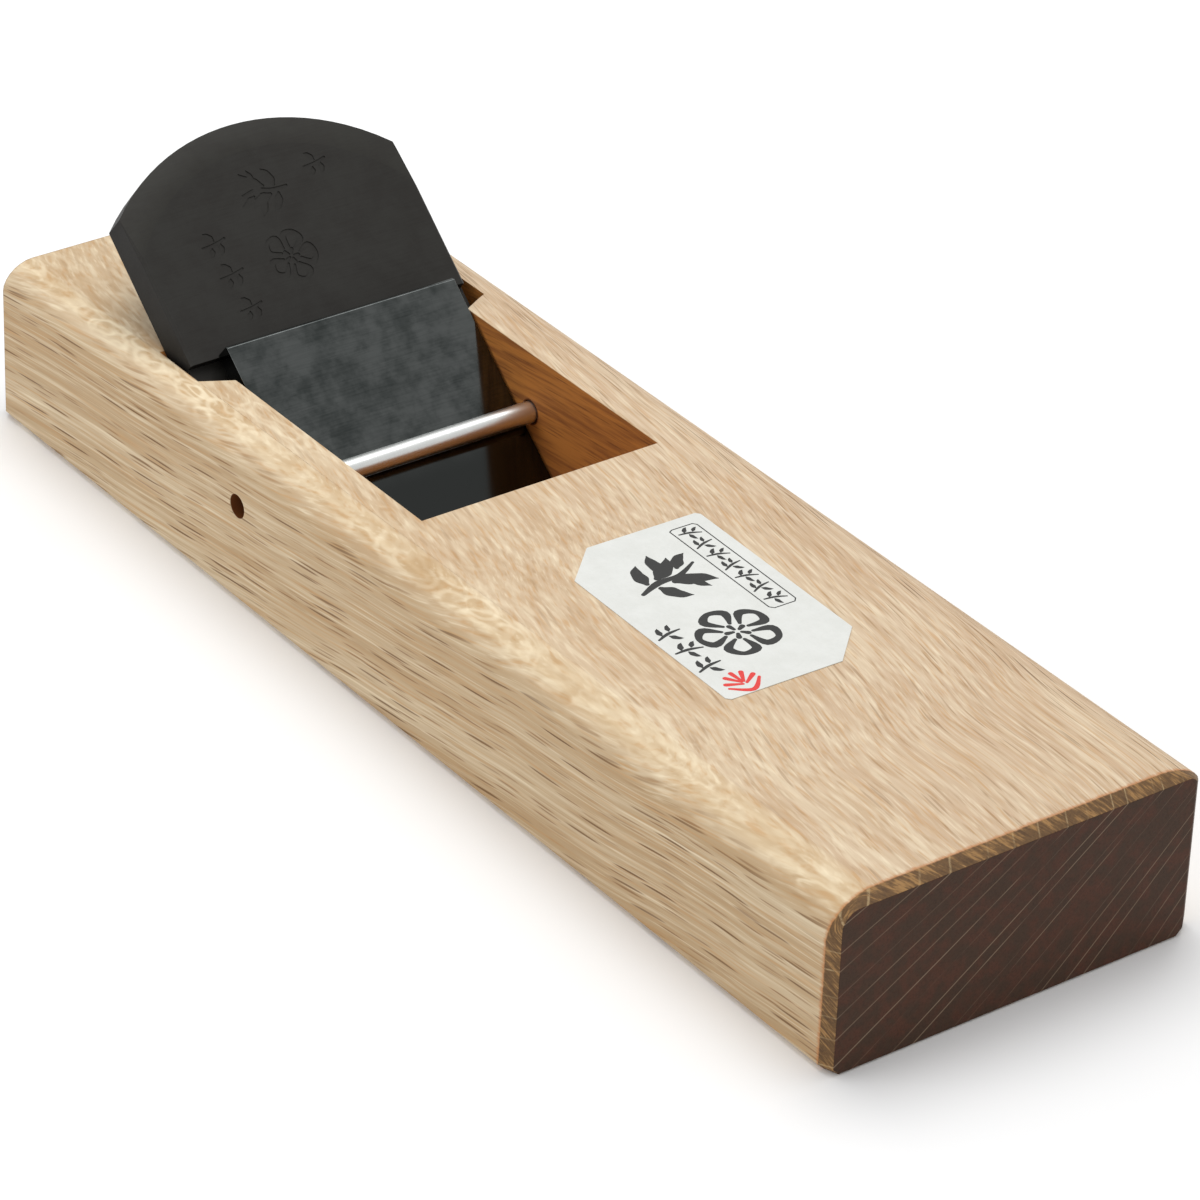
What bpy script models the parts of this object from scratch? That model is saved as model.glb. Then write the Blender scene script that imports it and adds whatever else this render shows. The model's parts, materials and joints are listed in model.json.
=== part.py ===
"""Wooden pull plane (kanna) with a replaceable cutting blade, in metres, +Z up.

+X runs along the sole towards the end that leads the cut, +Y runs across.
The blade set is laid out in its own frame: up the slope, across, and off the blade's face.
"""
import math

import bmesh
import bpy
from mathutils import Vector

MM = 0.001
MERGE_DISTANCE = 0.001 * MM
FLATNESS = math.radians(0.01)

# wooden body
BODY_LENGTH = 270.6 * MM
BODY_WIDTH = 81 * MM
BODY_HEIGHT = 33.9 * MM
EASING_POWER = 1.8                    # 1 would be a flat chamfer, 2 an ellipse
EASING_STEPS = 7
NEAR_EASING_FRONT = (9.2 * MM, 7.4 * MM)     # width over the top, drop down the side
NEAR_EASING_REAR = (6.6 * MM, 5.4 * MM)
FAR_EASING = (9.4 * MM, 4.3 * MM)
SOLE_CHAMFER = 1.3 * MM
FRONT_BEVEL = 3.1 * MM                # how far each end bevel runs along the body
FRONT_INSETS = (0.85 * MM, 3.2 * MM, 0.85 * MM, 0.3 * MM)    # near, far, top, sole
FRONT_FACE_NEAR_EASING = (3.6 * MM, 3.2 * MM)
FRONT_FACE_FAR_EASING = (1.6 * MM, 1.2 * MM)
REAR_BEVEL = 3.0 * MM
REAR_INSETS = (2.8 * MM, 2.8 * MM, 3.0 * MM, 0.4 * MM)
REAR_FACE_NEAR_EASING = (4.6 * MM, 3.8 * MM)
REAR_FACE_FAR_EASING = (6.5 * MM, 3.0 * MM)

# blade frame
BLADE_ANGLE = math.radians(40)
EDGE_X = -35.8 * MM
EDGE_ABOVE_SOLE = 0.4 * MM
SET_OVER = -0.6 * MM                  # the set sits this far off the centre line

# throat and blade channel
THROAT_WIDTH = 53.4 * MM
THROAT_FRONT_X = -6.5 * MM
THROAT_LIP_X = -28.6 * MM
THROAT_LIP_Z = 5.0 * MM
MOUTH_FRONT_X = -34.4 * MM
CHANNEL_WIDTH = 66.0 * MM
CHANNEL_MOUTH_WIDTH = 55.4 * MM
CHANNEL_NARROW_FROM = 9.5 * MM
CHANNEL_NARROW_TO = 1.0 * MM
CHANNEL_MOUTH_FACE = 0.5 * MM          # front of the channel, off the blade's face
CHANNEL_SIDE_FACE = 2.0 * MM
CHANNEL_INNER_FACE = 4.2 * MM
BED_GAP = 0.3 * MM
CUT_MARGIN = 12 * MM

# blade holder
HOLDER_WIDTH = 63.2 * MM
HOLDER_TOP = 98.3 * MM
HEAD_ARC_RADIUS = 46.2 * MM
HEAD_ARC_STEPS = 24
HEAD_BEVEL_TOP = 92.1 * MM
HEAD_BEVEL_RADIUS = 38.7 * MM
HEAD_BEVEL_DROP = 1.3 * MM
HEAD_SIDE_BEVEL = 0.5 * MM
HEAD_SHOULDER = 75 * MM               # below this the sides have only their narrow bevel
HEAD_FACE = 0.7 * MM
HEAD_STEP = 53.3 * MM
SEAT_FACE = -1.3 * MM
BACK_FACE = -6.6 * MM
HOLDER_FOOT_FRONT = 3.1 * MM
HOLDER_FOOT_BACK = 8.2 * MM
EAR_START = 3.0 * MM
EAR_END = 10.0 * MM
EAR_WIDTH = 52.8 * MM

# cutting blade and its studs
BLADE_LENGTH = 42 * MM
BLADE_THICKNESS = 1.0 * MM
BLADE_BEVEL = 1.9 * MM
STUD_PITCH = 38 * MM
STUD_UP = 24 * MM
STUD_RADIUS = 2.0 * MM
STUD_GAP = 0.3 * MM
STUD_TOP = -0.1 * MM
STUD_BOTTOM = -3.3 * MM
STUD_SIDES = 32

# chip breaker
BREAKER_WIDTH = 52.4 * MM
BREAKER_TOP = 53.7 * MM
BREAKER_FOOT = 0.9 * MM
BREAKER_LIP_END = 4.5 * MM
BREAKER_BEVEL_END = 8.5 * MM
BREAKER_UNDERSIDE = 1.05 * MM
BREAKER_LIP_FACE = 0.35 * MM
BREAKER_LIP_THICKNESS = 0.4 * MM
BREAKER_FACE_LOW = 5.8 * MM
BREAKER_FACE_TOP = 5.5 * MM
BREAKER_EASING = 0.5 * MM

# pressure pin
PIN_X = -47.3 * MM
PIN_Z = 21.2 * MM
PIN_RADIUS = 2.2 * MM
PIN_HOLE_RADIUS = 2.45 * MM
PIN_LENGTH = 73 * MM
PIN_EASING = 0.5 * MM
PIN_SIDES = 48

# paper label
LABEL_X = 45.8 * MM
LABEL_Y = 0.4 * MM
LABEL_LENGTH = 55.6 * MM
LABEL_WIDTH = 33.2 * MM
LABEL_CORNER_CUT = 8.4 * MM
LABEL_CORNER_EASING = 0.8 * MM
LABEL_THICKNESS = 0.2 * MM
LABEL_GAP = 0.3 * MM
LABEL_TURN = math.radians(-1.2)


def clear_scene():
    for thing in list(bpy.data.objects):
        bpy.data.objects.remove(thing, do_unlink=True)


def make_material(name, colour, metallic, roughness):
    material = bpy.data.materials.new(name)
    material.use_nodes = True
    shader = material.node_tree.nodes["Principled BSDF"]
    shader.inputs["Base Color"].default_value = (*colour, 1.0)
    shader.inputs["Metallic"].default_value = metallic
    shader.inputs["Roughness"].default_value = roughness
    return material


def add_object(name, mesh_data, material=None, parent=None, location=(0, 0, 0)):
    """Turn a bmesh into a scene object with flat faces, all pointing out."""
    bmesh.ops.remove_doubles(mesh_data, verts=mesh_data.verts, dist=MERGE_DISTANCE)
    bmesh.ops.connect_verts_nonplanar(mesh_data, angle_limit=FLATNESS, faces=mesh_data.faces)
    bmesh.ops.recalc_face_normals(mesh_data, faces=mesh_data.faces)
    mesh = bpy.data.meshes.new(name)
    mesh_data.to_mesh(mesh)
    mesh_data.free()
    thing = bpy.data.objects.new(name, mesh)
    thing.location = location
    thing.parent = parent
    if material:
        mesh.materials.append(material)
    bpy.context.collection.objects.link(thing)
    return thing


def loft(rings):
    """Skin closed rings of points, in order, and cap both ends."""
    mesh_data = bmesh.new()
    rows = [[mesh_data.verts.new(point) for point in ring] for ring in rings]
    count = len(rows[0])
    for row, following in zip(rows, rows[1:]):
        for i in range(count):
            j = (i + 1) % count
            mesh_data.faces.new((row[i], row[j], following[j], following[i]))
    mesh_data.faces.new(rows[0])
    mesh_data.faces.new(rows[-1])
    return mesh_data


def extrude_outline(outline, start, end):
    """Loft one outline between two positions, each a function of an outline point."""
    return loft([[start(point) for point in outline], [end(point) for point in outline]])


def cylinder(radius, length, sides, easing=0.0):
    """A round bar along Z, centred, with eased ends."""
    half = length / 2
    if easing:
        profile = [(radius - easing, -half), (radius, easing - half),
                   (radius, half - easing), (radius - easing, half)]
    else:
        profile = [(radius, -half), (radius, half)]
    turns = [2 * math.pi * i / sides for i in range(sides)]
    return loft([[(r * math.cos(t), r * math.sin(t), z) for t in turns] for r, z in profile])


def turn_round_bar(bar):
    bar.data.shade_smooth()
    bar.data.set_sharp_from_angle(angle=math.radians(30))


def boolean(target, tool, operation="DIFFERENCE"):
    tool.hide_render = True
    tool.display_type = "WIRE"
    modifier = target.modifiers.new(tool.name, "BOOLEAN")
    modifier.operation = operation
    modifier.solver = "EXACT"
    modifier.object = tool


def eased_corner(width, drop):
    """Offsets from the sharp top corner, from the side face up to the top face."""
    offsets = []
    for i in range(EASING_STEPS + 1):
        turn = math.pi / 2 * i / EASING_STEPS
        across = math.cos(turn) ** (2 / EASING_POWER)
        upward = math.sin(turn) ** (2 / EASING_POWER)
        offsets.append((width * (1 - across), drop * (1 - upward)))
    return offsets


def body_section(x, near_easing, far_easing=FAR_EASING, insets=(0.0, 0.0, 0.0, 0.0)):
    """One cross-section of the body: sole, near side, top, far side."""
    inset_near, inset_far, inset_top, sole = insets
    near = -BODY_WIDTH / 2 + inset_near
    far = BODY_WIDTH / 2 - inset_far
    top = BODY_HEIGHT - inset_top
    points = [(near + SOLE_CHAMFER, sole), (near, sole + SOLE_CHAMFER)]
    points += [(near + across, top - down) for across, down in eased_corner(*near_easing)]
    points += [(far - across, top - down) for across, down in reversed(eased_corner(*far_easing))]
    points += [(far, sole + SOLE_CHAMFER), (far - SOLE_CHAMFER, sole)]
    return [(x, y, z) for y, z in points]


def make_body(material):
    half = BODY_LENGTH / 2
    rings = [
        body_section(-half, REAR_FACE_NEAR_EASING, REAR_FACE_FAR_EASING, REAR_INSETS),
        body_section(REAR_BEVEL - half, NEAR_EASING_REAR),
        body_section(half - FRONT_BEVEL, NEAR_EASING_FRONT),
        body_section(half, FRONT_FACE_NEAR_EASING, FRONT_FACE_FAR_EASING, FRONT_INSETS),
    ]
    return add_object("body", loft(rings), material)


def make_blade_frame():
    """An empty at the cutting edge: its X runs up the slope, its Z stands off the blade."""
    frame = bpy.data.objects.new("blade_frame", None)
    frame.location = (EDGE_X, 0, EDGE_ABOVE_SOLE)
    frame.rotation_euler = (0, -BLADE_ANGLE, math.pi)
    bpy.context.collection.objects.link(frame)
    return frame


def cut_throat(body):
    """The open well in front of the blade, down to the mouth."""
    above = BODY_HEIGHT + CUT_MARGIN
    front_run = (THROAT_FRONT_X - THROAT_LIP_X) / (BODY_HEIGHT - THROAT_LIP_Z)
    blade_run = 1 / math.tan(BLADE_ANGLE)
    outline = [
        (THROAT_FRONT_X + front_run * CUT_MARGIN, above),
        (THROAT_LIP_X, THROAT_LIP_Z),
        (MOUTH_FRONT_X, 0),
        (MOUTH_FRONT_X, -CUT_MARGIN),
        (EDGE_X, -CUT_MARGIN),
        (EDGE_X, EDGE_ABOVE_SOLE),
        (EDGE_X - (above - EDGE_ABOVE_SOLE) * blade_run, above),
    ]
    half = THROAT_WIDTH / 2
    well = extrude_outline(outline, lambda p: (p[0], -half, p[1]), lambda p: (p[0], half, p[1]))
    boolean(body, add_object("throat_cutter", well))


def channel_section(up, width, side_face, inner_face):
    """The blade channel across: its bed, and side grooves with slanting front faces."""
    half = width / 2
    inner = THROAT_WIDTH / 2
    bed = BACK_FACE - BED_GAP
    side = [(half, bed), (half, side_face), (inner, inner_face)]
    across = side + [(-y, z) for y, z in reversed(side)]
    return [(up, y, z) for y, z in across]


def cut_blade_channel(body, frame):
    mouth = (CHANNEL_MOUTH_WIDTH, CHANNEL_MOUTH_FACE, CHANNEL_MOUTH_FACE)
    groove = (CHANNEL_WIDTH, CHANNEL_SIDE_FACE, CHANNEL_INNER_FACE)
    rings = [
        channel_section(-CUT_MARGIN, *mouth),
        channel_section(CHANNEL_NARROW_TO, *mouth),
        channel_section(CHANNEL_NARROW_FROM, *groove),
        channel_section(HOLDER_TOP, *groove),
    ]
    boolean(body, add_object("channel_cutter", loft(rings), parent=frame))


def cut_pin_hole(body):
    bore = add_object("pin_hole_cutter", cylinder(PIN_HOLE_RADIUS, BODY_WIDTH + CUT_MARGIN, PIN_SIDES))
    bore.location = (PIN_X, 0, PIN_Z)
    bore.rotation_euler = (math.pi / 2, 0, 0)
    boolean(body, bore)


def arc_height(across, top, radius):
    return top - radius + math.sqrt(radius * radius - across * across)


def head_arc(half, top, radius):
    """The arched top of the head, from one side to the other."""
    steps = [1 - 2 * i / HEAD_ARC_STEPS for i in range(HEAD_ARC_STEPS + 1)]
    return [(arc_height(half * s, top, radius), half * s) for s in steps]


def ear_outline(foot):
    """The lower end of the set, narrowed to the mouth, as (up, across) pairs."""
    narrow = EAR_WIDTH / 2
    wide = HOLDER_WIDTH / 2
    return [(EAR_END, -wide), (EAR_START, -narrow), (foot, -narrow),
            (foot, narrow), (EAR_START, narrow), (EAR_END, wide)]


def make_holder(material, frame):
    """One plate: an arched head with a broad bevel, a step down to the seat, a bevelled foot."""
    half = HOLDER_WIDTH / 2
    inner_half = half - HEAD_SIDE_BEVEL
    sides = [(HEAD_SHOULDER, -half)] + ear_outline(0) + [(HEAD_SHOULDER, half)]
    outer_arc = head_arc(half, HOLDER_TOP, HEAD_ARC_RADIUS)
    inner_arc = head_arc(inner_half, HEAD_BEVEL_TOP, HEAD_BEVEL_RADIUS)
    inner_sides = [(up, y * inner_half / half) for up, y in sides]
    rings = [
        [(up, y, BACK_FACE) for up, y in outer_arc + sides],
        [(up, y, HEAD_FACE - HEAD_BEVEL_DROP) for up, y in outer_arc]
        + [(up, y, HEAD_FACE - HEAD_SIDE_BEVEL) for up, y in sides],
        [(up, y, HEAD_FACE) for up, y in inner_arc + inner_sides],
    ]
    holder = add_object("blade_holder", loft(rings), material, frame, (0, -SET_OVER, 0))
    boolean(holder, seat_cutter(frame))
    boolean(holder, foot_cutter(frame))
    for side, across in stud_positions().items():
        boolean(holder, stud_bore("holder_bore_" + side, across, frame))
    return holder


def seat_cutter(frame):
    """Takes the lower face of the holder down to the blade's seat."""
    half = HOLDER_WIDTH
    outline = [(-CUT_MARGIN, -half), (HEAD_STEP, -half), (HEAD_STEP, half), (-CUT_MARGIN, half)]
    seat = extrude_outline(outline, lambda p: (*p, SEAT_FACE), lambda p: (*p, CUT_MARGIN))
    return add_object("seat_cutter", seat, parent=frame)


def foot_cutter(frame):
    """Cuts the holder's foot off above the sole, nearly parallel to it."""
    run = (HOLDER_FOOT_BACK - HOLDER_FOOT_FRONT) / (SEAT_FACE - BACK_FACE)
    top = HOLDER_FOOT_FRONT - run * CUT_MARGIN
    low = HOLDER_FOOT_FRONT + run * CUT_MARGIN
    outline = [(top, SEAT_FACE + CUT_MARGIN), (low, SEAT_FACE - CUT_MARGIN),
               (-3 * CUT_MARGIN, SEAT_FACE - CUT_MARGIN), (-3 * CUT_MARGIN, SEAT_FACE + CUT_MARGIN)]
    half = HOLDER_WIDTH
    foot = extrude_outline(outline, lambda p: (p[0], -half, p[1]), lambda p: (p[0], half, p[1]))
    return add_object("foot_cutter", foot, parent=frame)


def stud_positions():
    return {"left": STUD_PITCH / 2 - SET_OVER, "right": -STUD_PITCH / 2 - SET_OVER}


def stud_bore(name, across, frame):
    height = 2 * (SEAT_FACE - STUD_BOTTOM + STUD_GAP)
    bore = add_object(name, cylinder(STUD_RADIUS + STUD_GAP, height, STUD_SIDES), parent=frame)
    bore.location = (STUD_UP, across, SEAT_FACE)
    return bore


def make_studs(material, frame):
    length = STUD_TOP - STUD_BOTTOM
    for side, across in stud_positions().items():
        place = (STUD_UP, across, STUD_BOTTOM + length / 2)
        stud = add_object("blade_stud_" + side, cylinder(STUD_RADIUS, length, STUD_SIDES),
                          material, frame, place)
        turn_round_bar(stud)


def make_cutting_blade(material, frame):
    section = [(0, 0), (BLADE_LENGTH, 0), (BLADE_LENGTH, -BLADE_THICKNESS), (BLADE_BEVEL, -BLADE_THICKNESS)]
    half = HOLDER_WIDTH / 2
    strip = extrude_outline(section, lambda p: (p[0], -half, p[1]), lambda p: (p[0], half, p[1]))
    blade = add_object("cutting_blade", strip, material, frame, (0, -SET_OVER, 0))
    outline = [(2 * BLADE_LENGTH, half + MM), (2 * BLADE_LENGTH, -half - MM)] + ear_outline(-MM)
    trim = extrude_outline(outline, lambda p: (*p, -CUT_MARGIN), lambda p: (*p, CUT_MARGIN))
    boolean(blade, add_object("blade_outline", trim, parent=frame, location=(0, -SET_OVER, 0)), "INTERSECT")
    for side, across in stud_positions().items():
        boolean(blade, stud_bore("blade_bore_" + side, across, frame))
    return blade


def make_chip_breaker(material, frame):
    """Flat plate with a lip on the blade, a bevelled toe and a relieved underside."""
    lip_top = BREAKER_LIP_FACE + BREAKER_LIP_THICKNESS
    toe = BREAKER_LIP_END + BREAKER_UNDERSIDE - BREAKER_LIP_FACE
    section = [
        (BREAKER_FOOT, BREAKER_LIP_FACE), (BREAKER_LIP_END, BREAKER_LIP_FACE),
        (toe, BREAKER_UNDERSIDE), (BREAKER_TOP, BREAKER_UNDERSIDE),
        (BREAKER_TOP, BREAKER_FACE_TOP - BREAKER_EASING),
        (BREAKER_TOP - BREAKER_EASING, BREAKER_FACE_TOP),
        (BREAKER_BEVEL_END, BREAKER_FACE_LOW), (BREAKER_FOOT, lip_top),
    ]
    half = BREAKER_WIDTH / 2
    plate = extrude_outline(section, lambda p: (p[0], -half, p[1]), lambda p: (p[0], half, p[1]))
    return add_object("chip_breaker", plate, material, frame)


def make_pressure_pin(material):
    bar = cylinder(PIN_RADIUS, PIN_LENGTH, PIN_SIDES, PIN_EASING)
    pin = add_object("pressure_pin", bar, material, location=(PIN_X, 0, PIN_Z))
    pin.rotation_euler = (math.pi / 2, 0, 0)
    turn_round_bar(pin)
    return pin


def make_label(material):
    """Paper with two opposite corners cut off and the other two barely eased."""
    x, y = LABEL_LENGTH / 2, LABEL_WIDTH / 2
    cut, ease = LABEL_CORNER_CUT, LABEL_CORNER_EASING
    outline = [(-x, cut - y), (cut - x, -y), (x - ease, -y), (x, ease - y),
               (x, y - cut), (x - cut, y), (ease - x, y), (-x, y - ease)]
    paper = extrude_outline(outline, lambda p: (*p, 0), lambda p: (*p, LABEL_THICKNESS))
    label = add_object("label", paper, material, location=(LABEL_X, LABEL_Y, BODY_HEIGHT + LABEL_GAP))
    label.rotation_euler = (0, 0, LABEL_TURN)
    return label


def main():
    clear_scene()
    oak = make_material("oak", (0.62, 0.45, 0.28), 0.0, 0.5)
    black_steel = make_material("black_steel", (0.035, 0.035, 0.033), 0.6, 0.5)
    blade_steel = make_material("blade_steel", (0.55, 0.56, 0.57), 1.0, 0.3)
    blued_steel = make_material("blued_steel", (0.055, 0.06, 0.062), 0.8, 0.4)
    pin_steel = make_material("pin_steel", (0.75, 0.75, 0.74), 1.0, 0.18)
    paper = make_material("paper", (0.85, 0.84, 0.80), 0.0, 0.7)

    frame = make_blade_frame()
    body = make_body(oak)
    cut_throat(body)
    cut_blade_channel(body, frame)
    cut_pin_hole(body)
    make_holder(black_steel, frame)
    make_studs(pin_steel, frame)
    make_cutting_blade(blade_steel, frame)
    make_chip_breaker(blued_steel, frame)
    make_pressure_pin(pin_steel)
    make_label(paper)


main()
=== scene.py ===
import json
import math

import bpy
from mathutils import Matrix, Vector


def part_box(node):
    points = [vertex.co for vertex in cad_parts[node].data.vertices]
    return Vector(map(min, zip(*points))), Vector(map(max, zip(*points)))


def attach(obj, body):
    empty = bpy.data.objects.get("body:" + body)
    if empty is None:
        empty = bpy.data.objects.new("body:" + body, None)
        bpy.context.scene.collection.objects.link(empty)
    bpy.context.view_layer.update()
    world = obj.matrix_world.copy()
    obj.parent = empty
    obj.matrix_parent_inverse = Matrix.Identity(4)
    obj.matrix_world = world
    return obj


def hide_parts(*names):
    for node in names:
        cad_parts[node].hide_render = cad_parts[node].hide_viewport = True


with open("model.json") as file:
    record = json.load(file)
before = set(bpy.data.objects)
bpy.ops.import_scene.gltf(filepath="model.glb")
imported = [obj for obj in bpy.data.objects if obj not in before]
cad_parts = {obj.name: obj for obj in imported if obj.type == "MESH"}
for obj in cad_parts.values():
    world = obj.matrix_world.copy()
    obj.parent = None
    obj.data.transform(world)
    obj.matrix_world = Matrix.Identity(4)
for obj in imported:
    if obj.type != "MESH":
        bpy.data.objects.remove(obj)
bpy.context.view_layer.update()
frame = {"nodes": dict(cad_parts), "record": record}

mm = 0.001
print("hand plane: packed model loaded,", len(frame["nodes"]), "nodes")

# camera

view = {
    "aim": (11.4 * mm, 1.1 * mm, 17.0 * mm),
    "azimuth": 53.03,
    "elevation": 31.17,
    "roll": 2.2,
    "distance": 1.0499,
    "lens": 170.95,
}


def addCamera(view):
    data = bpy.data.cameras.new("studioCamera")
    data.lens = view["lens"]
    data.sensor_width = 36
    data.clip_start = 0.01
    camera = bpy.data.objects.new("studioCamera", data)
    bpy.context.collection.objects.link(camera)
    around, up = math.radians(view["azimuth"]), math.radians(view["elevation"])
    back = Vector((math.sin(around) * math.cos(up), -math.cos(around) * math.cos(up), math.sin(up)))
    turn = (Matrix.Rotation(around, 4, "Z") @ Matrix.Rotation(math.pi / 2 - up, 4, "X")
            @ Matrix.Rotation(math.radians(view["roll"]), 4, "Z"))
    camera.matrix_world = Matrix.Translation(Vector(view["aim"]) + back * view["distance"]) @ turn
    bpy.context.scene.camera = camera


addCamera(view)

# hand tools: picking, shaping and finishing


def deselectAll():
    if bpy.context.object and bpy.context.object.mode != "OBJECT":
        bpy.ops.object.mode_set(mode="OBJECT")
    bpy.ops.object.select_all(action="DESELECT")


def activate(piece):
    deselectAll()
    piece.select_set(True)
    bpy.context.view_layer.objects.active = piece


def pick(piece, kind, test):
    # edit mode, with the faces or edges that pass the test selected
    activate(piece)
    bpy.ops.object.mode_set(mode="EDIT")
    bpy.ops.mesh.select_mode(type=kind)
    bpy.ops.mesh.select_all(action="DESELECT")
    bpy.ops.object.mode_set(mode="OBJECT")
    mesh = piece.data
    if kind == "FACE":
        for face in mesh.polygons:
            face.select = bool(test(face.center, face.normal))
    else:
        for edge in mesh.edges:
            ends = [mesh.vertices[i] for i in edge.vertices]
            edge.select = bool(test(*(end.co for end in ends)))
            if edge.select:
                for end in ends:
                    end.select = True
    bpy.ops.object.mode_set(mode="EDIT")


def pickAll(piece):
    activate(piece)
    bpy.ops.object.mode_set(mode="EDIT")
    bpy.ops.mesh.select_all(action="SELECT")


def leave():
    bpy.ops.object.mode_set(mode="OBJECT")


def added(name):
    piece = bpy.context.object
    piece.name = name
    piece.data.name = name
    return piece


def copyOfNode(node, name):
    # a merged copy of a CAD solid, its flat faces made whole again
    piece = bpy.data.objects.new(name, frame["nodes"][node].data.copy())
    piece.data.name = name
    piece.data.materials.clear()
    bpy.context.collection.objects.link(piece)
    activate(piece)
    bpy.ops.mesh.customdata_custom_splitnormals_clear()
    pickAll(piece)
    bpy.ops.mesh.remove_doubles(threshold=0.005 * mm)
    bpy.ops.mesh.dissolve_limited(angle_limit=math.radians(0.3))
    leave()
    return piece


def outlineSolid(name, outline, low, high):
    # a circle's corners are moved onto the outline, and its face is raised into a solid
    bpy.ops.mesh.primitive_circle_add(vertices=len(outline), radius=1, fill_type="NGON")
    piece = added(name)
    for spot, (x, y) in zip(piece.data.vertices, outline):
        spot.co = (x, y, low)
    pickAll(piece)
    bpy.ops.mesh.extrude_region_move(TRANSFORM_OT_translate={"value": (0, 0, high - low)})
    bpy.ops.mesh.select_all(action="SELECT")
    bpy.ops.mesh.normals_make_consistent(inside=False)
    leave()
    return piece


def joined(name, pieces):
    deselectAll()
    for piece in pieces:
        piece.select_set(True)
    bpy.context.view_layer.objects.active = pieces[0]
    if len(pieces) > 1:
        bpy.ops.object.join()
    return added(name)


def place(piece, matrix=None):
    # puts the place into the mesh, and leaves the object at the origin
    if matrix is not None:
        piece.matrix_world = matrix @ piece.matrix_world
    activate(piece)
    bpy.ops.object.transform_apply(location=True, rotation=True, scale=True)


def cut(piece, cutter):
    activate(piece)
    modifier = piece.modifiers.new("cut", "BOOLEAN")
    modifier.operation = "DIFFERENCE"
    modifier.solver = "EXACT"
    modifier.use_self = True
    modifier.object = cutter
    bpy.ops.object.modifier_apply(modifier="cut")
    bpy.data.objects.remove(cutter)


def softenEdges(piece, width, segments=2, angle=30):
    activate(piece)
    modifier = piece.modifiers.new("soften", "BEVEL")
    modifier.width = width
    modifier.segments = segments
    modifier.limit_method = "ANGLE"
    modifier.angle_limit = math.radians(angle)
    modifier.use_clamp_overlap = True
    bpy.ops.object.modifier_apply(modifier="soften")


def smooth(piece, angle=35):
    activate(piece)
    bpy.ops.object.shade_smooth_by_angle(angle=math.radians(angle))
    modifier = piece.modifiers.new("evenNormals", "WEIGHTED_NORMAL")
    modifier.keep_sharp = True
    modifier.weight = 80
    bpy.ops.object.modifier_apply(modifier="evenNormals")


def finished(piece, finish, body, replaces=()):
    piece.data.materials.clear()
    piece.data.materials.append(finish)
    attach(piece, body)
    if replaces:
        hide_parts(*replaces)
    print("made", piece.name, len(piece.data.polygons), "faces")


# finishes: arithmetic on sockets, and one way to add any other node


class Wire:
    def __init__(self, finish, socket):
        self.finish = finish
        self.socket = socket

    def maths(self, operation, *values):
        return self.finish.node("Math", {"operation": operation}, dict(enumerate(values)))

    def __add__(self, other):
        return self.maths("ADD", self, other)

    def __radd__(self, other):
        return self.maths("ADD", other, self)

    def __sub__(self, other):
        return self.maths("SUBTRACT", self, other)

    def __rsub__(self, other):
        return self.maths("SUBTRACT", other, self)

    def __mul__(self, other):
        return self.maths("MULTIPLY", self, other)

    def __rmul__(self, other):
        return self.maths("MULTIPLY", other, self)

    def __truediv__(self, other):
        return self.maths("DIVIDE", self, other)

    def __pow__(self, other):
        return self.maths("POWER", self, other)

    def __abs__(self):
        return self.maths("ABSOLUTE", self)


class Finish:
    def __init__(self, name):
        self.material = bpy.data.materials.new(name)
        self.material.use_nodes = True
        self.tree = self.material.node_tree
        self.tree.nodes.clear()

    def node(self, kind, settings, inputs, output=0):
        made = self.tree.nodes.new("ShaderNode" + kind)
        for name, value in settings.items():
            setattr(made, name, value)
        for name, value in inputs.items():
            if isinstance(value, Wire):
                self.tree.links.new(value.socket, made.inputs[name])
            else:
                made.inputs[name].default_value = value
        return Wire(self, made.outputs[output]) if made.outputs else made

    def spot(self):
        # where a point lies on the piece, in mm
        return self.node("VectorMath", {"operation": "SCALE"},
                         {0: self.node("TexCoord", {}, {}, "Object"), "Scale": 1 / mm})

    def parts(self, vector):
        split = self.node("SeparateXYZ", {}, {0: vector}).socket.node
        return [Wire(self, part) for part in split.outputs]

    def stretched(self, spot, by):
        return self.node("VectorMath", {"operation": "MULTIPLY"}, {0: spot, 1: by})

    def noise(self, spot, scale=1.0, detail=2.0, roughness=0.5, distortion=0.0):
        return self.node("TexNoise", {}, {"Vector": spot, "Scale": scale, "Detail": detail,
                                          "Roughness": roughness, "Distortion": distortion}, "Fac")

    def cells(self, spot, dimensions="3D"):
        return self.node("TexVoronoi", {"feature": "F1", "voronoi_dimensions": dimensions},
                         {"Vector": spot, "Scale": 1.0}, "Distance")

    def chance(self, value):
        return self.node("TexWhiteNoise", {"noise_dimensions": "1D"}, {"W": value}, "Value")

    def ease(self, value, low, high, fromValue=0.0, toValue=1.0):
        # rises smoothly from low to high, or falls where low is the larger
        return self.node("MapRange", {"interpolation_type": "SMOOTHSTEP"},
                         {"Value": value, "From Min": low, "From Max": high,
                          "To Min": fromValue, "To Max": toValue})

    def mix(self, share, first, second):
        return self.node("Mix", {"data_type": "RGBA", "blend_type": "MIX", "clamp_result": True},
                         {0: share, 6: first, 7: second}, 2)

    def bump(self, height, distance, strength):
        return self.node("Bump", {}, {"Height": height, "Distance": distance, "Strength": strength})

    def shaded(self, **inputs):
        shader = self.node("BsdfPrincipled", {}, inputs)
        self.node("OutputMaterial", {}, {"Surface": shader})
        return self.material


def tint(code, level=1.0):
    # a colour written the usual way, as light amounts
    parts = [int(code[i:i + 2], 16) / 255 for i in (0, 2, 4)]
    light = [p / 12.92 if p <= 0.04045 else ((p + 0.055) / 1.055) ** 2.4 for p in parts]
    return (*[level * p for p in light], 1.0)


# white oak

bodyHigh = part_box("body")[1]
pinLow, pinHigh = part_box("pressure_pin")

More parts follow.
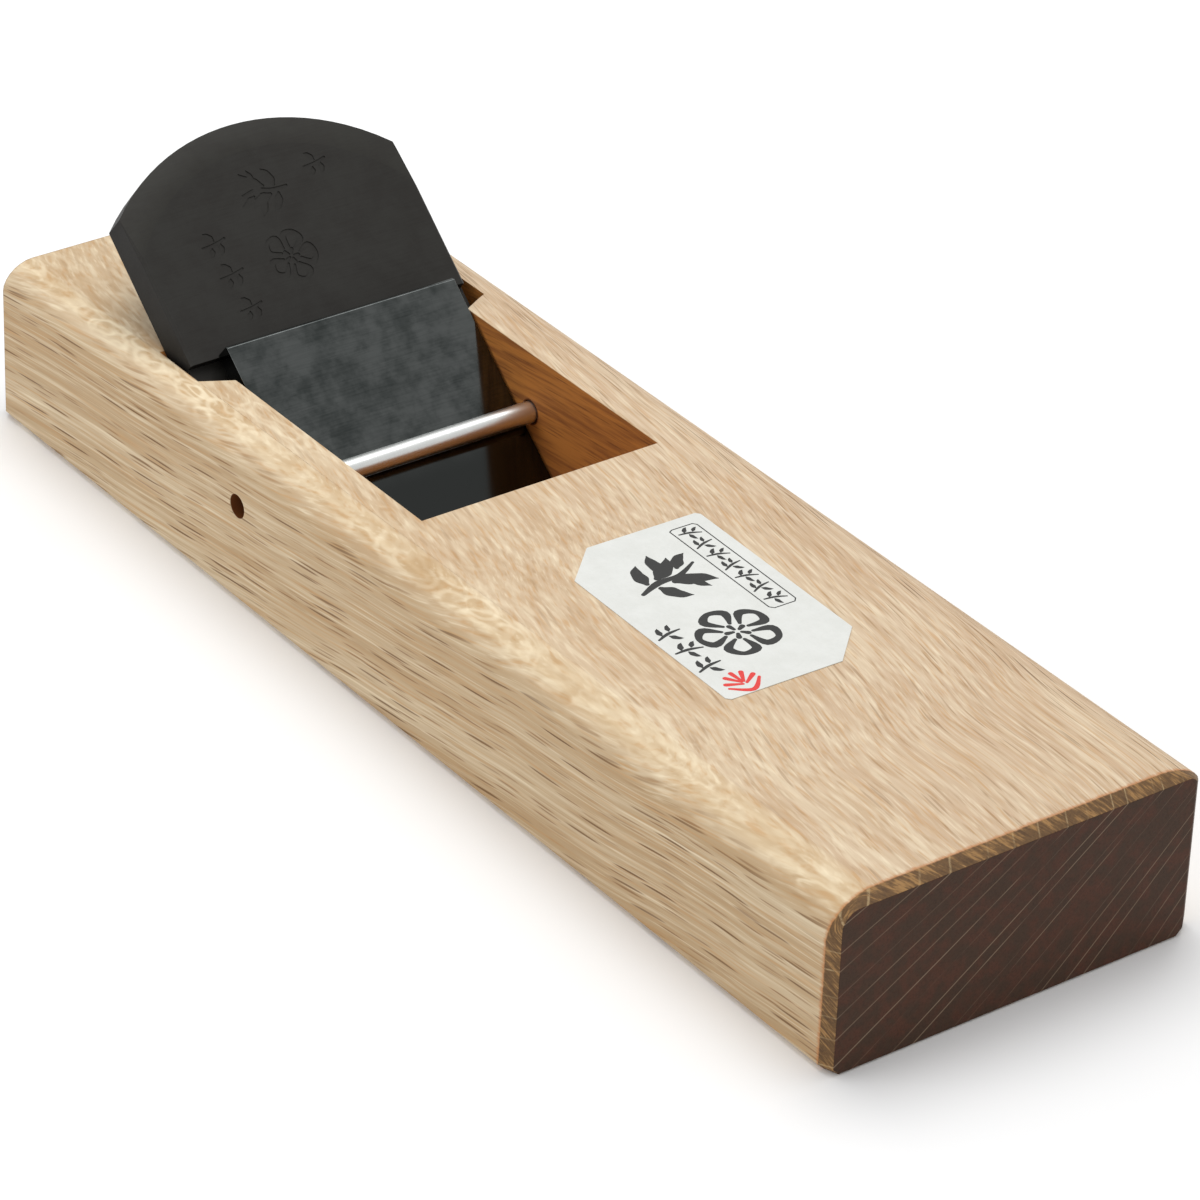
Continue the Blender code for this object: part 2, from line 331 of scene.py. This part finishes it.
# all sizes in mm
oak = {
    "pith": (115.0, 88.0),            # where the tree's middle lies, across and up
    "slope": 0.105,                   # how the grain climbs along the body
    "wander": 5.0,                    # how far the grain strays from straight
    "ringPitch": 2.2,
    "rayPitch": 3.4,                  # between the ray lines on the ends
    "endBevel": 3.1,
    "throatFrom": -96.0,              # the throat and the blade's bed lie between these
    "throatTo": -2.0,
    "throatHalf": 34.0,
    "holeRadius": 2.45,
    "top": "C9B094",
    # the sides are painted darker than the top: painted shade
    "side": "B69D7B",
    "quarter": "CDB184",              # where the rays lie in the surface
    "pale": "E9DABD",
    "warm": "B08D62",
    "fleck": "F4E6C8",
    "pore": "9A7448",
    "rayDark": "745536",
    "throat": "BE7C3B",
    "throatDark": "935B2F",
    "throatPore": "4A2A14",
    "throatEnd": "5E3A20",
    "holeWall": "6A3B1B",
    "endGrain": "412D1F",
    "endRed": "4E2E1F",
    "endDark": "2A1B12",
    "endRay": "97826C",
    "band": "6A4E30",                 # the bevel round the oiled ends
    "bandDark": "4E3C28",
    "bandPale": "A37C4C",
    "bandShade": "4A3422",
    "bandRay": "D2B98C",
    "scorch": "B4713A",
}


def makeOak(name, oak):
    f = Finish(name)
    spot = f.spot()
    x, y, z = f.parts(spot)
    nx, ny, nz = f.parts(f.node("TexCoord", {}, {}, "Normal"))

    # the grain wanders, then everything is measured round the tree's middle
    slow = f.stretched(spot, (1 / 60, 1 / 150, 1 / 150))
    wander = f.node("TexNoise", {}, {"Vector": slow, "Scale": 1.0, "Detail": 2.0, "Roughness": 0.4}, "Color")
    strayY, strayZ = f.parts(wander)[:2]
    grainY = y + (strayY - 0.5) * oak["wander"] - oak["pith"][0]
    grainZ = z + (strayZ - 0.5) * oak["wander"] - x * oak["slope"] - oak["pith"][1]
    radius = (grainY ** 2.0 + grainZ ** 2.0) ** 0.5
    around = f.node("Math", {"operation": "ARCTAN2"}, {0: grainZ, 1: grainY}) * 150.0

    def grain(lengthwise, tangential, radial):
        return f.node("CombineXYZ", {}, {0: x * (1 / lengthwise), 1: around * (1 / tangential),
                                         2: radius * (1 / radial)})

    # 1 where the surface faces the tree's middle or bark, 0 where it lies along the rays
    facing = abs((ny * grainY + nz * grainZ) / radius)
    flat = f.ease(facing, 0.45, 0.85)
    quarter = 1.0 - f.ease(facing, 0.12, 0.52)
    endCut = f.ease(abs(nx), 0.55, 0.8)

    # colour of the planed faces: the sides a darker copy of the top, as painted shade, then wide bands,
    # streaks and fine fibres
    colour = f.mix(f.ease(abs(ny), 0.35, 0.95), tint(oak["top"]), tint(oak["side"]))
    colour = f.mix(quarter * 0.6, colour, tint(oak["quarter"]))
    rings = f.node("Math", {"operation": "FRACT"},
                   {0: radius * (1 / oak["ringPitch"]) + f.noise(grain(80, 20, 20), 1.0, 2.0) * 2.0})
    early = f.ease(rings, 0.0, 0.3) * (1.0 - f.ease(rings, 0.5, 1.0))
    fibre = f.noise(grain(34, 0.32, 1.5), 1.0, 2.0, 0.6)
    streaks = f.noise(grain(90, 0.75, 3.5), 1.0, 2.0, 0.5)
    bands = f.noise(grain(120, 6.0, 6.0), 1.0, 2.0, 0.5)
    colour = f.mix(f.ease(bands, 0.38, 0.66) * 0.25, colour, tint(oak["pale"]))
    colour = f.mix(f.ease(bands, 0.50, 0.30) * 0.15, colour, tint(oak["warm"]))
    colour = f.mix(f.ease(streaks, 0.47, 0.70) * 0.35, colour, tint(oak["pale"]))
    colour = f.mix(f.ease(streaks, 0.50, 0.28) * 0.30, colour, tint(oak["warm"]))
    colour = f.mix(f.ease(fibre, 0.50, 0.72) * 0.5, colour, tint(oak["pore"], 1.6))
    colour = f.mix(f.ease(fibre, 0.46, 0.28) * 0.35, colour, tint(oak["fleck"]))
    colour = f.mix(early * 0.14, colour, tint(oak["warm"], 0.8))

    # vessels: short fine hollows, mostly in the early wood
    vessels = 1.0 - f.ease(f.cells(grain(12, 0.50, 1.8)), 0.18, 0.34)
    vessels = vessels * (0.35 + early * 0.65) * (1.0 - quarter * 0.6)
    colour = f.mix(vessels * 0.30, colour, tint(oak["pore"]))

    # rays run from the middle outwards: dark dashes where they are cut across, pale flakes along them
    rays = 1.0 - f.ease(f.cells(grain(48, 1.5, 1), "2D"), 0.07, 0.13)
    small = 1.0 - f.ease(f.cells(grain(26, 0.85, 1), "2D"), 0.09, 0.18)
    flakes = 1.0 - f.ease(f.cells(grain(11, 0.9, 3.2)), 0.16, 0.34)
    depth = f.noise(grain(30, 4, 30), 1.0, 2.0)
    shown = flat + (1.0 - flat) * (1.0 - quarter) * 0.55
    colour = f.mix(small * shown * f.ease(depth, 0.70, 0.42) * 0.75, colour, tint(oak["rayDark"], 1.35))
    colour = f.mix(rays * flat * (0.55 + depth * 0.6), colour, tint(oak["rayDark"]))
    colour = f.mix(flakes * (1.0 - flat) * 0.22, colour, tint(oak["fleck"]))

    # along the eased edge the rays lie in the surface, as curling pale figure
    curl = f.noise(grain(17, 6.0, 6.0), 1.0, 2.0, 0.5, 0.25)
    swirl = f.ease(abs(curl - 0.50), 0.05, 0.0) * 0.7 + f.ease(abs(curl - 0.62), 0.04, 0.0)
    patchy = f.ease(f.noise(grain(45, 8, 8), 1.0, 2.0), 0.38, 0.62)
    plates = f.cells(grain(7.5, 3.0, 3.0))
    scales = f.ease(plates, 0.45, 0.58) * f.ease(plates, 0.78, 0.62)
    colour = f.mix(swirl * quarter * (0.15 + patchy * 0.4), colour, tint(oak["fleck"]))
    colour = f.mix(scales * quarter * patchy * 0.4, colour, tint(oak["fleck"]))
    colour = f.mix(f.ease(curl, 0.40, 0.26) * quarter * 0.4, colour, tint(oak["warm"]))

    # the throat, the blade's bed and the pin's hole are darker
    high, half, pinAt = bodyHigh.z / mm, bodyHigh.y / mm, (pinLow + pinHigh) / 2 / mm
    throat = (f.ease(z, high - 0.05, high - 0.2) * f.ease(z, 0.4, 0.7)
              * f.ease(abs(y), oak["throatHalf"], oak["throatHalf"] - 0.3)
              * f.ease(x, oak["throatFrom"], oak["throatFrom"] + 1.0)
              * f.ease(x, oak["throatTo"], oak["throatTo"] - 1.0) * (1.0 - f.ease(nz, 0.82, 0.88)))
    across = ((x - pinAt.x) ** 2.0 + (z - pinAt.z) ** 2.0) ** 0.5
    hole = (f.ease(across, oak["holeRadius"] + 0.3, oak["holeRadius"] + 0.15)
            * f.ease(abs(y), half - 0.05, half - 0.15))
    streak = f.noise(grain(22, 1.6, 1.6), 1.0, 3.0, 0.6)
    wall = f.mix(f.ease(streak, 0.35, 0.7), tint(oak["throat"]), tint(oak["throatDark"]))
    wall = f.mix(vessels * 0.5, wall, tint(oak["throatPore"]))
    wall = f.mix(endCut * 0.5, wall, tint(oak["throatEnd"]))
    colour = f.mix(throat, colour, wall)
    colour = f.mix(hole, colour, tint(oak["holeWall"]))

    # oiled ends: a textured band on the bevel, then dark end grain
    endEdge = bodyHigh.x / mm - oak["endBevel"]
    frayed = f.noise(f.stretched(spot, (0.5, 1.4, 1.4)), 1.0, 4.0, 0.65)
    fuzz = (frayed - 0.5) * 1.6
    front = f.ease(x, -1.0, 1.0)
    atEnd = endCut * f.ease(abs(x), endEdge - 8.0, endEdge - 6.0)
    band = f.ease(abs(x) + fuzz * 0.3 * front, endEdge - 0.15, endEdge + 0.2)
    scorch = f.ease(abs(x) + fuzz, endEdge - 0.9, endEdge + 0.1) * front
    mottle = f.noise(spot, 0.30, 4.0, 0.62)
    speckle = f.noise(spot, 2.4, 3.0, 0.7)
    lean = f.node("CombineXYZ", {}, {0: x * 0.25, 1: around * 1.9 - x * 1.1, 2: radius * 0.3})
    hairs = f.noise(lean, 1.0, 3.0, 0.65)
    bandTint = f.mix(f.ease(speckle, 0.38, 0.68) * 0.5, tint(oak["band"]), tint(oak["bandDark"]))
    bandTint = f.mix(f.ease(hairs, 0.48, 0.66) * 0.8, bandTint, tint(oak["bandPale"]))
    bandTint = f.mix(f.ease(hairs, 0.46, 0.30) * 0.6, bandTint, tint(oak["bandShade"]))
    colour = f.mix(scorch * 0.75, colour, tint(oak["scorch"]))
    colour = f.mix(band, colour, bandTint)
    endTint = f.mix(f.ease(mottle, 0.38, 0.66), tint(oak["endGrain"]), tint(oak["endRed"]))
    endTint = f.mix(f.ease(speckle, 0.42, 0.74) * 0.6, endTint, tint(oak["endDark"]))
    colour = f.mix(atEnd, colour, endTint)

    # the rays cross the end as thin pale lines, one in each step of angle round the tree's middle
    index = around * (1 / oak["rayPitch"])
    step = f.node("Math", {"operation": "FLOOR"}, {0: index})
    away = abs(index - step - 0.2 - f.chance(step) * 0.6) * oak["rayPitch"]
    line = (1.0 - f.ease(away, 0.04, 0.15)) * f.ease(f.chance(step + 31.7), 0.1, 0.6, 0.25, 1.0)
    broken = f.ease(f.noise(grain(60, 2.0, 18), 1.0, 2.0), 0.28, 0.55)
    onBand = f.ease(frayed, 0.3, 0.6) * band * (1.0 - endCut)
    colour = f.mix(line * broken * atEnd * 0.6, colour, tint(oak["endRay"]))
    colour = f.mix(line * onBand * 0.4, colour, tint(oak["bandRay"]))

    height = fibre * 0.30 - vessels * 0.7 - rays * flat * 0.4 + band * speckle * 0.5
    rough = 0.52 + fibre * 0.16 - atEnd * 0.04 + throat * 0.1
    return f.shaded(**{"Base Color": colour, "Roughness": rough, "Specular IOR Level": 0.2,
                       "Normal": f.bump(height, 0.05 * mm, 0.8)})


# steels

# swing is how much the roughness varies, cloud how strong the blotches are, brush and depth how the grinding
# lines run and how deep they are, and shade the heights in mm between which painted shade darkens the steel
# downwards
steels = {
    "blackenedSteel": {"base": "2B2A27", "dark": "211E1B", "rough": 0.50, "swing": 0.10, "metal": 0.15,
                       "gloss": 0.22},
    # a paler copy for the band along the holder's arch, as painted light, and a darker one for the faces
    # round its edges, as painted shade
    "blackenedBandPaintedLight": {"base": "2C2B27", "dark": "25221F", "rough": 0.48, "swing": 0.10, "metal": 0.15,
                      "gloss": 0.22},
    "blackenedEdgePaintedShade": {"base": "22211F", "dark": "1A1816", "rough": 0.52, "swing": 0.10, "metal": 0.10,
                      "gloss": 0.12},
    # the blued breaker is painted darker below the pin: painted shade
    "bluedSteel": {"base": "5E6160", "dark": "3C403F", "rough": 0.10, "swing": 0.05, "metal": 1.0,
                   "depth": 0.06, "cloud": 0.8, "shade": (15, 23, "383A39")},
    "groundSteel": {"base": "B4B6B8", "dark": "8F9294", "rough": 0.24, "swing": 0.10, "metal": 1.0,
                    "brush": (2.0, 1 / 14, 2.0)},
    "polishedSteel": {"base": "EDEFED", "dark": "D8DAD8", "rough": 0.31, "swing": 0.06, "metal": 1.0,
                      "brush": (1 / 8, 3.0, 1 / 8), "depth": 0.1, "cloud": 0.3},
}


def makeSteel(name, base, dark, rough, swing, metal, brush=(1.2, 1 / 18, 1.2), depth=0.2, cloud=0.5,
              gloss=0.5, shade=None):
    f = Finish(name)
    spot = f.spot()
    clouds = f.noise(spot, 0.13, 4.0, 0.65)
    lines = f.noise(f.stretched(spot, brush), 2.4, 4.0, 0.65)
    grit = f.noise(spot, 6.0, 2.0, 0.6)
    worn = f.ease(clouds, 0.35, 0.7) * cloud + f.ease(lines, 0.4, 0.7) * 0.25
    colour = f.mix(worn, tint(base), tint(dark))
    # painted shade: the steel darkens downwards, below the pin
    if shade:
        low, high, paintedShadeTint = shade
        colour = f.mix(f.ease(f.parts(spot)[2], high, low), colour, tint(paintedShadeTint))
    roughness = rough + (lines - 0.5) * swing + (clouds - 0.5) * swing
    height = lines * depth + grit * 0.25
    return f.shaded(**{"Base Color": colour, "Metallic": metal, "Roughness": roughness,
                       "Specular IOR Level": gloss, "Normal": f.bump(height, 0.02 * mm, 0.5)})


oakFinish = makeOak("whiteOak", oak)
(blackSteel, paintedLightBandSteel, paintedShadeEdgeSteel, bluedSteel, groundSteel,
 polishedSteel) = [makeSteel(name, **values) for name, values in steels.items()]

print("finishes mixed")

# wooden body

# the throat's rim lies inside reach, along and across
block = {"rim": 0.22 * mm, "reach": (100 * mm, 34 * mm), "near": 0.02 * mm}


def makeBody(block):
    piece = copyOfNode("body", "planeBody")
    reachX, reachY = block["reach"]

    def isRim(a, b):
        middle = (a + b) / 2
        onTop = min(a.z, b.z) > bodyHigh.z - block["near"]
        onEnd = min(abs(a.x), abs(b.x)) > bodyHigh.x - block["near"]
        return onEnd or onTop and abs(middle.y) < reachY and abs(middle.x) < reachX

    pick(piece, "EDGE", isRim)
    bpy.ops.mesh.bevel(offset=block["rim"], segments=2, affect="EDGES", clamp_overlap=True)
    leave()
    smooth(piece, 26)
    finished(piece, oakFinish, "plane_body", ["body"])


makeBody(block)

# blade set, laid out in its own frame: up the slope, across, off the blade

slope = Vector(next(j["axis"] for j in frame["record"]["behaviour"]["joints"] if j["name"] == "blade_slide"))
offBlade = slope.cross(Vector((0, -1, 0)))
bladeLow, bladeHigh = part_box("cutting_blade")
bladeFrame = (Matrix.Translation((bladeHigh.x, 0, bladeLow.z))
              @ Matrix((slope, Vector((0, -1, 0)), offBlade)).transposed().to_4x4())


def boxIn(matrix, node):
    # a CAD node's lowest and highest corners, along another frame's axes
    back = matrix.inverted()
    spots = [back @ v.co for v in frame["nodes"][node].data.vertices]
    return [Vector([end(s[i] for s in spots) for i in range(3)]) for end in (min, max)]


# ornament: brush strokes that swell and taper


def strokeOutline(line, widths, steps=5, caps=4):
    points, sizes = [], []
    for i in range(len(line) - 1):
        before, start = Vector(line[max(i - 1, 0)]), Vector(line[i])
        end, after = Vector(line[i + 1]), Vector(line[min(i + 2, len(line) - 1)])
        for k in range(steps if i < len(line) - 2 else steps + 1):
            t = k / steps
            bend, twist = 2 * before - 5 * start + 4 * end - after, 3 * start - before - 3 * end + after
            points.append(0.5 * (2 * start + (end - before) * t + bend * t ** 2 + twist * t ** 3))
            sizes.append(widths[i] + (widths[i + 1] - widths[i]) * (3 * t * t - 2 * t ** 3))
    left, right = [], []
    for i, (point, size) in enumerate(zip(points, sizes)):
        run = (points[min(i + 1, len(points) - 1)] - points[max(i - 1, 0)]).normalized()
        away = Vector((-run.y, run.x)) * size / 2
        left.append(point + away)
        right.append(point - away)

    def cap(centre, run, size):
        turns = [math.pi * (0.5 - (k + 1) / (caps + 1)) for k in range(caps)]
        away = Vector((-run.y, run.x))
        return [centre + run * math.cos(t) * size / 2 + away * math.sin(t) * size / 2 for t in turns]

    finish = cap(points[-1], (points[-1] - points[-2]).normalized(), sizes[-1])
    begin = cap(points[0], (points[0] - points[1]).normalized(), sizes[0])
    return left + finish + right[::-1] + begin


def strokes(name, marks, low, high, lift):
    # marks are (line, widths) pairs in mm, and each stands a hair higher than the one before
    made = []
    for i, (line, widths) in enumerate(marks):
        outline = [(p.x * mm, p.y * mm) for p in strokeOutline(line, widths)]
        made.append(outlineSolid(name, outline, low, high + lift * i))
    return joined(name, made)


def turned(marks, centre, size, angle, weight):
    # a mark drawn about its own middle, one unit wide, put in its place
    c, s = math.cos(math.radians(angle)) * size, math.sin(math.radians(angle)) * size
    return [([(centre[0] + x * c - y * s, centre[1] + x * s + y * c) for x, y in line],
             [w * size * weight for w in widths]) for line, widths in marks]


def leaf(start, angle, length, width, curl):
    c, s = math.cos(math.radians(angle)), math.sin(math.radians(angle))
    spine = zip([0, 0.3, 0.65, 1.0], [0, curl * 0.6, curl, curl * 0.3])
    line = [(start[0] + length * (a * c - w * s), start[1] + length * (a * s + w * c)) for a, w in spine]
    return line, [width * 0.35, width, width * 0.75, width * 0.06]


sprig = [([(-0.42, -0.06), (-0.15, 0.0), (0.12, -0.03), (0.40, 0.06)], [0.03, 0.055, 0.04, 0.02])] + [
    leaf((-0.25, 0.06), 62, 0.36, 0.10, 0.12), leaf((-0.10, 0.07), 35, 0.42, 0.12, -0.12),
    leaf((0.06, 0.06), 78, 0.40, 0.11, 0.10), leaf((0.20, 0.09), 30, 0.30, 0.09, 0.12),
    leaf((-0.20, -0.09), -60, 0.34, 0.11, -0.12), leaf((0.0, -0.09), -35, 0.44, 0.13, 0.12),
    leaf((0.16, -0.05), -78, 0.34, 0.09, -0.10)]


def blossom():
    marks = []
    for i in range(5):
        turn = 90 + 72 * i
        c, s = math.cos(math.radians(turn)), math.sin(math.radians(turn))
        ring = [(0.16, 0.05), (0.34, 0.15), (0.44, 0.0), (0.34, -0.15), (0.16, -0.05)]
        marks.append(([(a * c - b * s, a * s + b * c) for a, b in ring], [0.03, 0.075, 0.05, 0.075, 0.03]))
        marks.append(([(0.05 * c, 0.05 * s), (0.12 * c, 0.12 * s)], [0.03, 0.045]))
    return marks


twig = [([(-0.45, 0.0), (0.0, 0.05), (0.45, -0.02)], [0.06, 0.10, 0.05]),
        leaf((-0.2, 0.12), 60, 0.4, 0.16, 0.1), leaf((-0.05, -0.08), -58, 0.42, 0.16, -0.1),
        leaf((0.15, 0.14), 48, 0.34, 0.14, 0.1)]
fan = [([(-0.40, 0.0), (0.0, -0.30), (0.40, 0.0)], [0.05, 0.09, 0.05])] + [
    ([(0.06 * math.cos(a), -0.12 + 0.2 * math.sin(a)), (0.42 * math.cos(a), -0.12 + 0.55 * math.sin(a))],
     [0.05, 0.085]) for a in map(math.radians, (30, 60, 90, 120, 150))]

# blade holder

# a mark's place is up the slope and across it, in mm, then its size, angle and weight
holder = {
    "edge": 0.3 * mm, "engraving": 0.16 * mm, "face": 0.7 * mm, "above": 1.0 * mm, "lift": 0.003 * mm,
    "bandTilt": (8, 20), "edgeTilt": 70,
    "sprig": ((83.0, 1.2), 12.0, 80, 1.5),
    "blossom": ((68.8, 1.8), 12.0, 100, 1.5),
    "twigs": [((75.5, 16.4), 6.0, 100, 1.4), ((68.6, 15.6), 6.0, 100, 1.4), ((61.2, 14.8), 5.6, 100, 1.4),
              ((85.8, -11.8), 5.8, 100, 1.4)],
}


def makeHolder(holder):
    piece = copyOfNode("blade_holder", "bladeHolder")
    softenEdges(piece, holder["edge"], 2, 20)
    marks = turned(sprig, *holder["sprig"]) + turned(blossom(), *holder["blossom"])
    for spot in holder["twigs"]:
        marks += turned(twig, *spot)
    bottom, top = holder["face"] - holder["engraving"], holder["face"] + holder["above"]
    cutter = strokes("holderMarks", marks, bottom, top, holder["lift"])
    place(cutter, bladeFrame)
    cut(piece, cutter)
    smooth(piece, 30)
    finished(piece, blackSteel, "blade_set", ["blade_holder"])

    # the ground band along the arch is painted a little paler, as painted light, and the faces round the
    # edges a little darker, as painted shade
    piece.data.materials.append(paintedLightBandSteel)
    piece.data.materials.append(paintedShadeEdgeSteel)
    for face in piece.data.polygons:
        tilt = math.degrees(face.normal.angle(offBlade))
        onBand = holder["bandTilt"][0] < tilt < holder["bandTilt"][1]
        face.material_index = 1 if onBand else 2 if tilt > holder["edgeTilt"] else 0


makeHolder(holder)

# cutting blade and its studs

studs = {"rim": 0.35 * mm, "inset": 0.5 * mm, "dimple": 0.15 * mm}


def makeStud(name, node, studs):
    low, high = boxIn(bladeFrame, node)
    radius = (high.x - low.x) / 2
    bpy.ops.mesh.primitive_cylinder_add(vertices=40, radius=radius, depth=high.z - low.z,
                                        location=(low + high) / 2)
    piece = added(name)
    place(piece)
    pick(piece, "FACE", lambda centre, normal: normal.z > 0.9)
    bpy.ops.mesh.inset(thickness=studs["inset"], depth=0)
    bpy.ops.mesh.inset(thickness=studs["inset"], depth=-studs["dimple"])
    leave()
    place(piece, bladeFrame)
    softenEdges(piece, studs["rim"], 3, 50)
    smooth(piece)
    finished(piece, groundSteel, "blade_set", [node])


makeStud("bladeStudLeft", "blade_stud_left", studs)
makeStud("bladeStudRight", "blade_stud_right", studs)

bladeShape = {"arris": 0.08 * mm}


def makeCuttingBlade(shape):
    piece = copyOfNode("cutting_blade", "cuttingBlade")
    softenEdges(piece, shape["arris"], 2, 40)
    smooth(piece, 30)
    finished(piece, groundSteel, "blade_set", ["cutting_blade"])


makeCuttingBlade(bladeShape)

# chip breaker

breaker = {"lipLength": 3.6 * mm, "lipThickness": 0.4 * mm, "toe": 7.6 * mm, "relief": 0.7 * mm,
           "fall": 0.3 * mm, "arris": 0.28 * mm, "topEdge": 0.5 * mm}


def makeBreaker(shape):
    low, high = boxIn(bladeFrame, "chip_breaker")
    lip, under = low.x + shape["lipLength"], low.z + shape["relief"]
    outline = [(low.x, low.z), (lip, low.z), (lip + shape["relief"], under), (high.x, under),
               (high.x, high.z - shape["fall"] - shape["topEdge"]),
               (high.x - shape["topEdge"], high.z - shape["fall"]),
               (low.x + shape["toe"], high.z), (low.x, low.z + shape["lipThickness"])]
    piece = outlineSolid("chipBreaker", outline, -high.y, -low.y)
    place(piece, Matrix.Rotation(math.pi / 2, 4, "X"))
    place(piece, bladeFrame)
    softenEdges(piece, shape["arris"], 3, 25)
    smooth(piece, 30)
    finished(piece, bluedSteel, "breaker", ["chip_breaker"])


makeBreaker(breaker)

# pressure pin

pin = {"rim": 0.55 * mm, "inset": 0.9 * mm, "dome": 0.18 * mm}


def makePin(pin):
    low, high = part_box("pressure_pin")
    radius = (high.z - low.z) / 2
    bpy.ops.mesh.primitive_cylinder_add(vertices=72, radius=radius, depth=high.y - low.y - 2 * pin["dome"],
                                        location=(low + high) / 2, rotation=(math.pi / 2, 0, 0))
    piece = added("pressurePin")
    place(piece)
    for side in (1, -1):
        pick(piece, "FACE", lambda centre, normal: normal.y * side > 0.9)
        bpy.ops.mesh.inset(thickness=pin["inset"], depth=pin["dome"])
        leave()
    softenEdges(piece, pin["rim"], 4, 50)
    smooth(piece)
    finished(piece, polishedSteel, "pin", ["pressure_pin"])


makePin(pin)

# paper label

# marks as on the holder, placed along and across from the label's middle
label = {
    "length": 55.6 * mm, "width": 33.2 * mm, "thickness": 0.13 * mm, "cut": 8.4 * mm, "ease": 0.8 * mm,
    "gap": 0.02 * mm, "turn": -1.2, "ink": 0.02 * mm, "sunk": 0.01 * mm, "lift": 0.0002 * mm,
    "paper": ("DBDCD8", "D2D3CE"), "blackInk": ("1E1E1C", "3C3B38"), "redInk": ("D8322C", "E2564C"),
    "sprig": ((-11.3, -1.6), 18.0, 100, 1.6),
    "blossom": ((10.0, -1.8), 17.0, 100, 1.45),
    "fan": ((24.6, -10.8), 8.6, 95, 1.35),
    # rows of twigs: how many, the first one's place, the step, size, angle, every other one's lean, weight
    "rows": [(3, (4.6, -12.8), 6.2, 6.0, 105, -20, 1.25), (7, (-22.2, 10.85), 4.4, 4.8, 75, 35, 1.2)],
    "frameLine": [(-24.5, 7.9), (-24.9, 8.6), (-24.9, 13.2), (-24.2, 13.8), (6.2, 13.8), (7.0, 13.1),
                  (7.0, 8.6), (6.2, 7.9), (-24.5, 7.9)],
    "frameWidth": 0.22,
}


def makePaper(name, white, shade):
    f = Finish(name)
    spot = f.spot()
    clouds = f.noise(spot, 0.25, 3.0, 0.6)
    fibres = f.noise(f.stretched(spot, (1.0, 3.0, 1.0)), 1.6, 4.0, 0.7, 0.6)
    mottled = f.ease(clouds, 0.3, 0.7) * 0.6 + f.ease(fibres, 0.45, 0.7) * 0.4
    colour = f.mix(mottled, tint(white), tint(shade))
    return f.shaded(**{"Base Color": colour, "Roughness": 0.75 - fibres * 0.1, "Specular IOR Level": 0.3,
                       "Normal": f.bump(fibres, 0.03 * mm, 0.4)})


def makeInk(name, colour, pale):
    f = Finish(name)
    dry = f.noise(f.stretched(f.spot(), (1.0, 1.0, 0.1)), 1.4, 5.0, 0.7)
    shade = f.mix(f.ease(dry, 0.5, 0.75) * 0.5, tint(colour), tint(pale))
    return f.shaded(**{"Base Color": shade, "Roughness": 0.5 + dry * 0.2,
                       "Normal": f.bump(dry, 0.02 * mm, 0.3)})


def makeLabel(label):
    low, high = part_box("label")
    middle = (low + high) / 2
    x, y = label["length"] / 2, label["width"] / 2
    corner, ease = label["cut"], label["ease"]
    outline = [(-x, corner - y), (corner - x, -y), (x - ease, -y), (x, ease - y),
               (x, y - corner), (x - corner, y), (ease - x, y), (-x, y - ease)]
    bottom = bodyHigh.z + label["gap"]
    top = bottom + label["thickness"]
    seat = Matrix.Translation((middle.x, middle.y, 0)) @ Matrix.Rotation(math.radians(label["turn"]), 4, "Z")
    paper = outlineSolid("labelPaper", outline, bottom, top)
    place(paper, seat)
    finished(paper, makePaper("labelPaper", *label["paper"]), "plane_body", ["label"])

    marks = turned(sprig, *label["sprig"]) + turned(blossom(), *label["blossom"])
    for count, (along, across), step, size, angle, lean, weight in label["rows"]:
        for i in range(count):
            marks += turned(twig, (along + step * i, across), size, angle + lean * (i % 2), weight)
    line = label["frameLine"]
    marks += [([a, b], [label["frameWidth"]] * 2) for a, b in zip(line, line[1:])]
    for name, ink, drawn in (("labelInk", "blackInk", marks),
                             ("labelRedMark", "redInk", turned(fan, *label["fan"]))):
        piece = strokes(name, drawn, top - label["sunk"], top + label["ink"], label["lift"])
        place(piece, seat)
        finished(piece, makeInk(ink, *label[ink]), "plane_body")


makeLabel(label)

# floor and light

studio = {
    "floorSize": 12, "floorGrey": 0.93, "skyStrength": 0.72,
    # power, width and height, place, in metres
    "overheadSoftbox": (9.0, (1.0, 1.0), (-0.3, 0.2, 1.3)),
    "sideSoftbox": (3.0, (0.8, 0.8), (-0.4, -1.1, 0.7)),
    "aim": (0, 0, 0.02),
}


def makeStage(studio):
    bpy.ops.mesh.primitive_plane_add(size=studio["floorSize"], location=(0, 0, 0))
    floor = added("studioFloor")
    f = Finish("paleFloor")
    floor.data.materials.append(f.shaded(**{"Base Color": (*[studio["floorGrey"]] * 3, 1.0), "Roughness": 0.9,
                                            "Specular IOR Level": 0.1}))
    world = bpy.data.worlds.new("softSky")
    bpy.context.scene.world = world
    world.use_nodes = True
    sky = world.node_tree.nodes["Background"].inputs
    sky["Color"].default_value = (1.0, 1.0, 1.0, 1.0)
    sky["Strength"].default_value = studio["skyStrength"]
    bpy.context.scene.view_settings.view_transform = "Standard"


def addSoftbox(name, power, size, spot, aim):
    data = bpy.data.lights.new(name, "AREA")
    data.shape = "RECTANGLE"
    data.size, data.size_y = size
    data.energy = power
    lamp = bpy.data.objects.new(name, data)
    bpy.context.collection.objects.link(lamp)
    lamp.location = spot
    lamp.rotation_euler = (Vector(aim) - Vector(spot)).to_track_quat("-Z", "Y").to_euler()


makeStage(studio)
for name in ("overheadSoftbox", "sideSoftbox"):
    addSoftbox(name, *studio[name], studio["aim"])
print("floor and lights set")

print("hand plane: scene ready")
